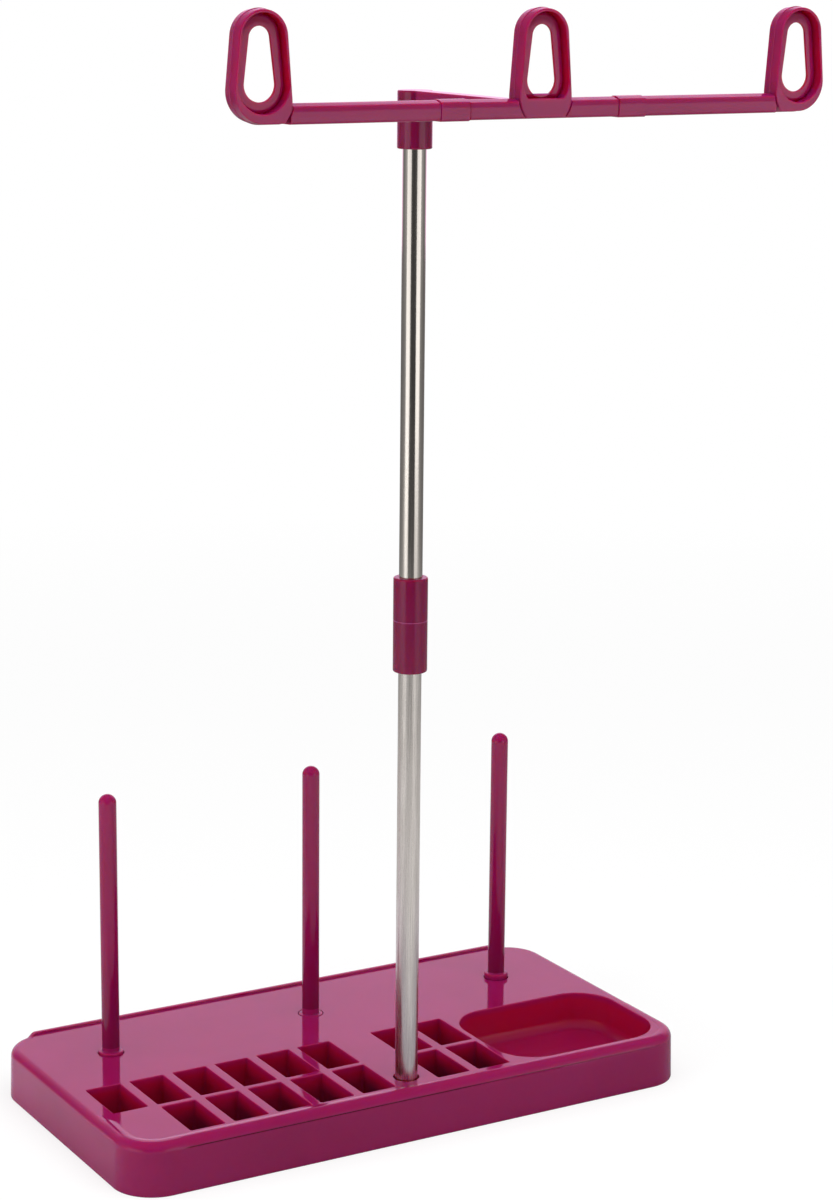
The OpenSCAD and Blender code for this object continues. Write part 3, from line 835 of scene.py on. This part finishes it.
def guideLoops(ending):
    # closed run of loops: outside, back pocket, hole, front pocket
    g = guide
    topH = g["h"] - g["topR"]
    pocketR, pocketTopR = g["lowR"] - g["rim"], g["topR"] - g["rim"]
    pocketH = g["floor"] + pocketR
    holeTopH = pocketH - g["holeR"] + g["holeH"] - g["holeTopR"]
    front = -head["reach"]
    back = front + g["t"]
    middle = (front + back) / 2
    webFront, webBack = middle - g["web"] / 2, middle + g["web"] / 2
    pocketFloor = g["noFloor"] if ending else g["ledge"]

    def pocket(grow, y):
        return dropLoop(pocketR, pocketH, pocketH, pocketTopR, topH, grow, pocketFloor, y)

    def hole(grow, y):
        return dropLoop(g["holeR"], pocketH, pocketH, g["holeTopR"], holeTopH, grow, g["noFloor"], y)

    e, m, f, he, drop, rh = (g[k] for k in ("edge", "mouth", "foot", "holeEdge", "drop", "ridgeHalf"))
    ridgeRows = [(-rh - g["ridgePast"], 1), (-rh, 1), (-rh / 2, g["ridgeFoot"]), (0, 0)]
    ridgeRows += [(-y, share) for y, share in reversed(ridgeRows[:-1])]
    turn, holeTurn = quarter(g["edgeSteps"]), quarter(g["holeSteps"])
    loops = [guideOutline(ending, e * s - e - drop, front + e - e * c) for s, c in turn]
    loops += [guideOutline(ending, -g["ridge"] * share, middle + y) for y, share in ridgeRows]
    loops += [guideOutline(ending, e * c - e - drop, back - e + e * s) for s, c in turn]
    loops += [pocket(m - m * s, back - m + m * c) for s, c in turn]
    loops += [pocket(f * c - f, webBack + f - f * s) for s, c in turn]
    loops += [hole(he - he * s, webBack - he + he * c) for s, c in holeTurn]
    loops += [hole(he - he * c, webFront + he - he * s) for s, c in holeTurn]
    loops += [pocket(f * s - f, webFront + f - f * c) for s, c in turn]
    loops += [pocket(m - m * c, front + m - m * s) for s, c in turn]
    return loops


def atHead(loop):
    return [(x + head["x"], y + head["y"], z + head["barZ"]) for x, y, z in loop]


def barSection(x, grow=0.0, cap=0.0):
    # section of the bar at x, in the head's own coordinates; cap draws it in at a rounded end
    h = head
    thick = guide["t"] - 2 * h["faceStep"]
    front = -h["reach"] + h["faceStep"]
    y0, y1 = front - grow + cap, front + thick + grow - cap
    z0, z1 = -grow + cap, h["barH"] + grow - cap
    low, top, steps = h["edgeLow"], h["edgeTop"], h["edgeSteps"]
    slope = math.degrees(math.atan2(h["crownH"], h["crownW"]))
    edgeZ = z1 - h["crownH"]
    side = arc(y1 - low, z0 + low, low, -90, 0, steps)
    for i in range(1, h["faceSteps"]):
        t = i / h["faceSteps"]
        side.append((y1 + h["faceBulge"] * 4 * t * (1 - t), mix(z0 + low, edgeZ - top, t)))
    side += arc(y1 - top, edgeZ - top, top, 0, 90 - slope, steps)
    side.append((y1 - h["crownW"], z1))
    return [(x, y, z) for y, z in side + [(y0 + y1 - y, z) for y, z in reversed(side)]]


def squareSection(x, side):
    h = head
    thick = guide["t"] - 2 * h["faceStep"]
    cy, cz = -h["reach"] + h["faceStep"] + thick / 2, h["barH"] / 2
    r = h["tenonR"]
    s = side / 2 - r
    places = [(s, -s), (s, s), (-s, s), (-s, -s)]
    section = []
    for k, (y, z) in enumerate(places):
        section += arc(cy + y, cz + z, r, 90 * k - 90, 90 * k, h["tenonSteps"])
    return [(x, y, z) for y, z in section]


def middleBarLoops():
    h = head
    end, step = h["middleHalf"], h["sleeveStep"]
    behind = end - h["sleeveL"]
    socket = h["tenon"] + 2 * h["tenonGap"]
    mouth = h["socketMouth"]
    rows = [(end, step, h["sleeveEdge"]), (end - h["sleeveEdgeMid"], step, h["sleeveEdgeMid"]),
            (end - h["sleeveEdge"], step, 0), (behind + h["sleeveBackEdge"], step, 0),
            (behind, step, h["sleeveBackEdge"]), (behind - h["grooveNear"], -h["grooveDepth"], 0),
            (behind - h["grooveFar"], -h["grooveDepth"], 0), (behind - h["grooveEnd"], 0, 0),
            (h["innerEnd"], 0, 0)]
    run = [squareSection(end - h["tenonL"] - h["socketPast"], socket), squareSection(end - mouth, socket),
           squareSection(end, socket + 2 * mouth)] + [barSection(*row) for row in rows]
    return run + [[(-x, y, z) for x, y, z in loop] for loop in reversed(run)]


def seamCutter(ending, place):
    # a shallow seam in the bar's face, along the guide's outline
    h = head
    ends = (-h["reach"] - 1, h["faceStep"] + h["seamDepth"] - h["reach"])
    return loftObject("seamCutter", [place(guideOutline(ending, h["seam"], y)) for y in ends])


def makeHub():
    h = head
    e, w, top, steps = h["armEdge"], h["armW"] / 2, h["armH"], h["edgeSteps"]
    piece = loftObject("guideHubShape", [atHead(loop) for loop in guideLoops(False)], closed=True)
    bar = loftObject("middleBar", [atHead(loop) for loop in middleBarLoops()])
    boolean(piece, boolean(bar, seamCutter(False, atHead), "DIFFERENCE"), "UNION")

    def armSection(y):
        section = arc(w - e, e, e, -90, 0, steps) + arc(w - e, top - e, e, 0, 90, steps)
        section += arc(e - w, top - e, e, 90, 180, steps) + arc(e - w, e, e, 180, 270, steps)
        return atHead([(x, y, z) for x, z in section])

    armEnds = (-h["reach"] + guide["t"] / 2 + h["armIntoBar"], h["armToHub"])
    arm = loftObject("arm", [armSection(y) for y in armEnds])
    centre = (h["x"], h["y"])
    high = h["barZ"] + top
    low, roof = high - h["hubH"], high - h["hubTop"]
    outside = [(0, high, 0), (h["hubR"], high, h["hubEdge"]), (h["hubR"], low, h["hubEdge"]), (0, low, 0)]
    inside = [(0, low - h["boreBelow"]), (h["boreR"] + h["boreFlare"], low - h["boreBelow"]),
              (h["boreR"], low + h["boreFlareUp"]), (h["boreR"], roof), (0, roof)]
    boolean(arm, lathe("hub", roundedProfile(outside, h["hubEdgeSteps"]), centre, h["hubSteps"]), "UNION")
    boolean(arm, lathe("bore", inside, centre, h["hubSteps"]), "DIFFERENCE")
    boolean(piece, arm, "UNION")
    return finishPiece(piece, plastic, "head", ["guide_hub"])


def makeOuterGuide(sign, node, body):
    h = head

    def flip(loop, dx=0.0):
        return atHead([((x + dx) * sign, y, z) for x, y, z in loop])

    def place(loop):
        return flip(loop, h["pitch"])

    piece = loftObject(node + "Shape", [place(loop) for loop in guideLoops(True)], closed=True)
    end, start = h["middleHalf"], h["middleHalf"] - h["tenonL"]
    run = [squareSection(start, h["tenon"] - h["tenonPoint"]),
           squareSection(start + h["tenonPointL"], h["tenon"]),
           squareSection(end, h["tenon"]), barSection(end, 0, h["tipEdge"]),
           barSection(end + h["tipEdgeMid"], 0, h["tipEdgeMid"]), barSection(end + h["tipEdge"]),
           barSection(h["pitch"] - guide["lowR"] + guide["rim"] * h["intoRim"])]
    bar = loftObject(node + "Bar", [flip(loop) for loop in run])
    boolean(piece, boolean(bar, seamCutter(True, place), "DIFFERENCE"), "UNION")
    return finishPiece(piece, plastic, body, [node])


makeHub()
makeOuterGuide(-1, "left_guide", "guide_left")
makeOuterGuide(1, "right_guide", "guide_right")
print("guide head ready")


# hidden fixings keep their CAD shapes

for nodeName, finish in (("foot_screw", zinc), ("foot_washer", zinc), ("foot_plug", plug)):
    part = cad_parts[nodeName]
    part.data.materials.clear()
    part.data.materials.append(finish)
print("fixings ready")


# floor, light and camera

view = {"place": (-480.07, -834.13, 404.20), "yaw": 30.4046, "pitch": 12.7272, "roll": 0.5506,
        "lens": 87.0, "sensor": 36, "clip": (0.01, 20)}
floorLook = {
    "r": 3.0, "sides": 90, "rough": 0.9, "specular": 0.1,
    # share of the shadow that the camera sees, and where it fades out
    "shadowShare": 0.3, "shadowFade": (0.35, 1.1),
    # painted shadow and light beside the base, seen in reflections: dim in front, where the base's shadow
    # falls, pale left and behind, with the change between them; and a painted pink bounce near the base
    "dim": 0.36, "pale": 0.78, "tilt": 0.3, "change": (-0.02, 0.13), "tint": (1.0, 0.94, 1.07),
    # further away it fades from one paleness to the other
    "further": 0.65, "far": 0.07, "fade": (0.35, 0.95), "away": (0.05, 0.16),
    # and has painted pools of light below the two boxes: how much, from the back (0) round to the camera (1)
    "bright": 0.62,
    "brightStops": [(0.30, 0.25), (0.54, 0.38), (0.67, 0.60), (0.75, 1), (0.905, 1), (0.945, 0)],
    "baseHalf": (0.111, 0.0575), "baseY": 0.0323,
}


def makeFloor():
    # a pale disc that looks white to the camera and keeps the object's shadow; to other rays its colour
    # holds painted shadow and light
    look = floorLook
    mesh = bpy.data.meshes.new("floor")
    mesh.from_pydata(circleLoop(0, 0, look["r"], 0, look["sides"]), [], [tuple(range(look["sides"]))])
    floor = bpy.data.objects.new("floor", mesh)
    bpy.context.scene.collection.objects.link(floor)
    mat, tree, shader, where = nodeMaterial("paleFloor")
    do = partial(mathNode, tree)
    toCamera = newNode(tree, "LightPath").outputs["Is Camera Ray"]
    distance = newNode(tree, "VectorMath", {0: where}, operation="LENGTH").outputs["Value"]
    x, y = axesOf(tree, where)[:2]

    # painted shadow in front of the base, painted light to its left and behind, fading further away
    toLeft = do("SUBTRACT", y, do("MULTIPLY", x, look["tilt"]))
    near = mapRange(tree, toLeft, look["dim"], look["pale"], *look["change"])
    outX = do("SUBTRACT", do("ABSOLUTE", x), look["baseHalf"][0])
    outY = do("SUBTRACT", do("ABSOLUTE", do("SUBTRACT", y, look["baseY"])), look["baseHalf"][1])
    away = mapRange(tree, do("MAXIMUM", outX, outY), 0, 1, *look["away"])
    far = mapRange(tree, distance, look["further"], look["far"], *look["fade"])
    # painted pools of light below the two boxes
    yaw = math.radians(view["yaw"])
    ahead = do("ADD", do("MULTIPLY", x, -math.sin(yaw)), do("MULTIPLY", y, -math.cos(yaw)))
    turned = mapRange(tree, do("DIVIDE", ahead, distance), 0, 1, -1, 1)
    bright = ramp(tree, turned, [(place, (v, v, v)) for place, v in look["brightStops"]])
    far = do("ADD", do("MULTIPLY", bright, look["bright"]), do("MULTIPLY", far, do("SUBTRACT", 1, bright)))
    pale = do("ADD", do("MULTIPLY", near, do("SUBTRACT", 1, away)), do("MULTIPLY", far, away))
    # painted pink bounce light near the base
    tint = mixColour(tree, away, look["tint"], white)
    level = newNode(tree, "VectorMath", {0: tint, "Scale": pale}, operation="SCALE").outputs["Vector"]
    colour = mixColour(tree, toCamera, level, white)
    feed(shader, {"Base Color": colour, "Roughness": look["rough"], "Specular IOR Level": look["specular"]})

    glow = newNode(tree, "Emission", {"Color": white}).outputs[0]
    fade = mapRange(tree, distance, 1 - look["shadowShare"], 1.0, *look["shadowFade"])
    seen = mixShader(tree, do("MULTIPLY", toCamera, fade), shader.outputs["BSDF"], glow)
    feed(tree.get_output_node("ALL"), {"Surface": seen})
    mesh.materials.append(mat)


roomLook = {
    # soft light from the sky, lower and higher up
    "skyLow": 0.14, "skyRise": 0.90,
    # what shows in the gloss, from the camera's side (0) round to the back (1): level, share of the tint
    "around": [(0.0, 0.05, 0), (0.30, 0.42, 0), (0.40, 0.42, 0), (0.52, 0.30, 0), (0.65, 0.20, 0),
               (0.76, 0.17, 0), (0.85, 0.33, 0.3), (0.94, 0.70, 1), (1.0, 0.95, 1)],
    "tint": (1.40, 0.85, 1.22), "overhead": (0.16, 0.16, 0.16), "top": (0.50, 0.68), "leastFlat": 0.001,
}


def makeWorld():
    # white to the camera, a room with a white back to the gloss, and a soft sky to the rest
    look = roomLook
    world = bpy.data.worlds.new("studio")
    bpy.context.scene.world = world
    world.use_nodes = True
    tree = world.node_tree
    tree.nodes.clear()
    path = newNode(tree, "LightPath")
    do = partial(mathNode, tree)
    x, y, z = axesOf(tree, newNode(tree, "TexCoord").outputs["Generated"])
    yaw = math.radians(view["yaw"])
    toBack = do("ADD", do("MULTIPLY", x, math.sin(yaw)), do("MULTIPLY", y, math.cos(yaw)))
    flat = do("SQRT", do("ADD", do("MULTIPLY", x, x), do("MULTIPLY", y, y)))
    around = mapRange(tree, do("DIVIDE", toBack, do("MAXIMUM", flat, look["leastFlat"])), 0, 1, -1, 1)
    stops = [(place, tuple(level * mix(1, c, share) for c in look["tint"]))
             for place, level, share in look["around"]]
    below = mapRange(tree, z, 1, 0, *look["top"])
    room = mixColour(tree, below, look["overhead"], ramp(tree, around, stops))
    sky = mapRange(tree, z, look["skyLow"], look["skyLow"] + look["skyRise"], 0, 1)

    def background(strength=1, colour=white):
        return newNode(tree, "Background", {"Strength": strength, "Color": colour}).outputs[0]

    gloss = do("MAXIMUM", path.outputs["Is Glossy Ray"], path.outputs["Is Transmission Ray"])
    lit = mixShader(tree, gloss, background(sky), background(colour=room))
    seen = mixShader(tree, path.outputs["Is Camera Ray"], lit, background())
    newNode(tree, "OutputWorld", {"Surface": seen})


# turn from the camera, distance, height, size, level, and whether the gloss sees it
lamps = {
    "leftBox": (-47, 1.3, 0.18, (0.98, 0.36), 0.83, True),
    "rightBox": (50, 1.3, 0.18, (0.98, 0.36), 0.83, True),
    "leftFill": (-56, 1.3, 0.38, (0.90, 0.60), 3.9, False),
    "rightFill": (52, 1.3, 0.38, (0.90, 0.60), 1.30, False),
    "topFill": (30, 0.40, 0.90, (0.9, 0.5), 2.3, False),
}
lampAimZ = 0.3


def makeLamps():
    # two low boxes that show in the tubes, and fills that don't
    for name, (turn, away, height, size, level, shows) in lamps.items():
        data = bpy.data.lights.new(name, "AREA")
        data.shape = "RECTANGLE"
        data.size, data.size_y = size
        data.energy = level * math.pi * size[0] * size[1]
        angle = math.radians(view["yaw"] - turn)
        lamp = bpy.data.objects.new(name, data)
        lamp.location = (-math.sin(angle) * away, -math.cos(angle) * away, height)
        toward = Vector((0, 0, min(height, lampAimZ))) - lamp.location
        lamp.rotation_euler = toward.to_track_quat("-Z", "Y").to_euler()
        lamp.visible_glossy = shows
        bpy.context.scene.collection.objects.link(lamp)


def makeCamera():
    data = bpy.data.cameras.new("photoCamera")
    data.sensor_fit = "VERTICAL"
    data.sensor_height = view["sensor"]
    data.lens = view["lens"]
    data.clip_start, data.clip_end = view["clip"]
    camera = bpy.data.objects.new("photoCamera", data)
    camera.location = Vector(view["place"]) * mm
    yaw, pitch, roll = (math.radians(view[k]) for k in ("yaw", "pitch", "roll"))
    forward = Vector((math.sin(yaw) * math.cos(pitch), math.cos(yaw) * math.cos(pitch), -math.sin(pitch)))
    right = Vector((math.cos(yaw), -math.sin(yaw), 0))
    up = right.cross(forward)
    matrix = camera.matrix_world.to_3x3()
    matrix.col[0] = right * math.cos(roll) + up * math.sin(roll)
    matrix.col[1] = up * math.cos(roll) - right * math.sin(roll)
    matrix.col[2] = -forward
    camera.rotation_euler = matrix.to_euler()
    bpy.context.scene.collection.objects.link(camera)
    bpy.context.scene.camera = camera


makeFloor()
makeWorld()
makeLamps()
makeCamera()
bpy.context.scene.view_settings.view_transform = "Standard"
print("studio ready")
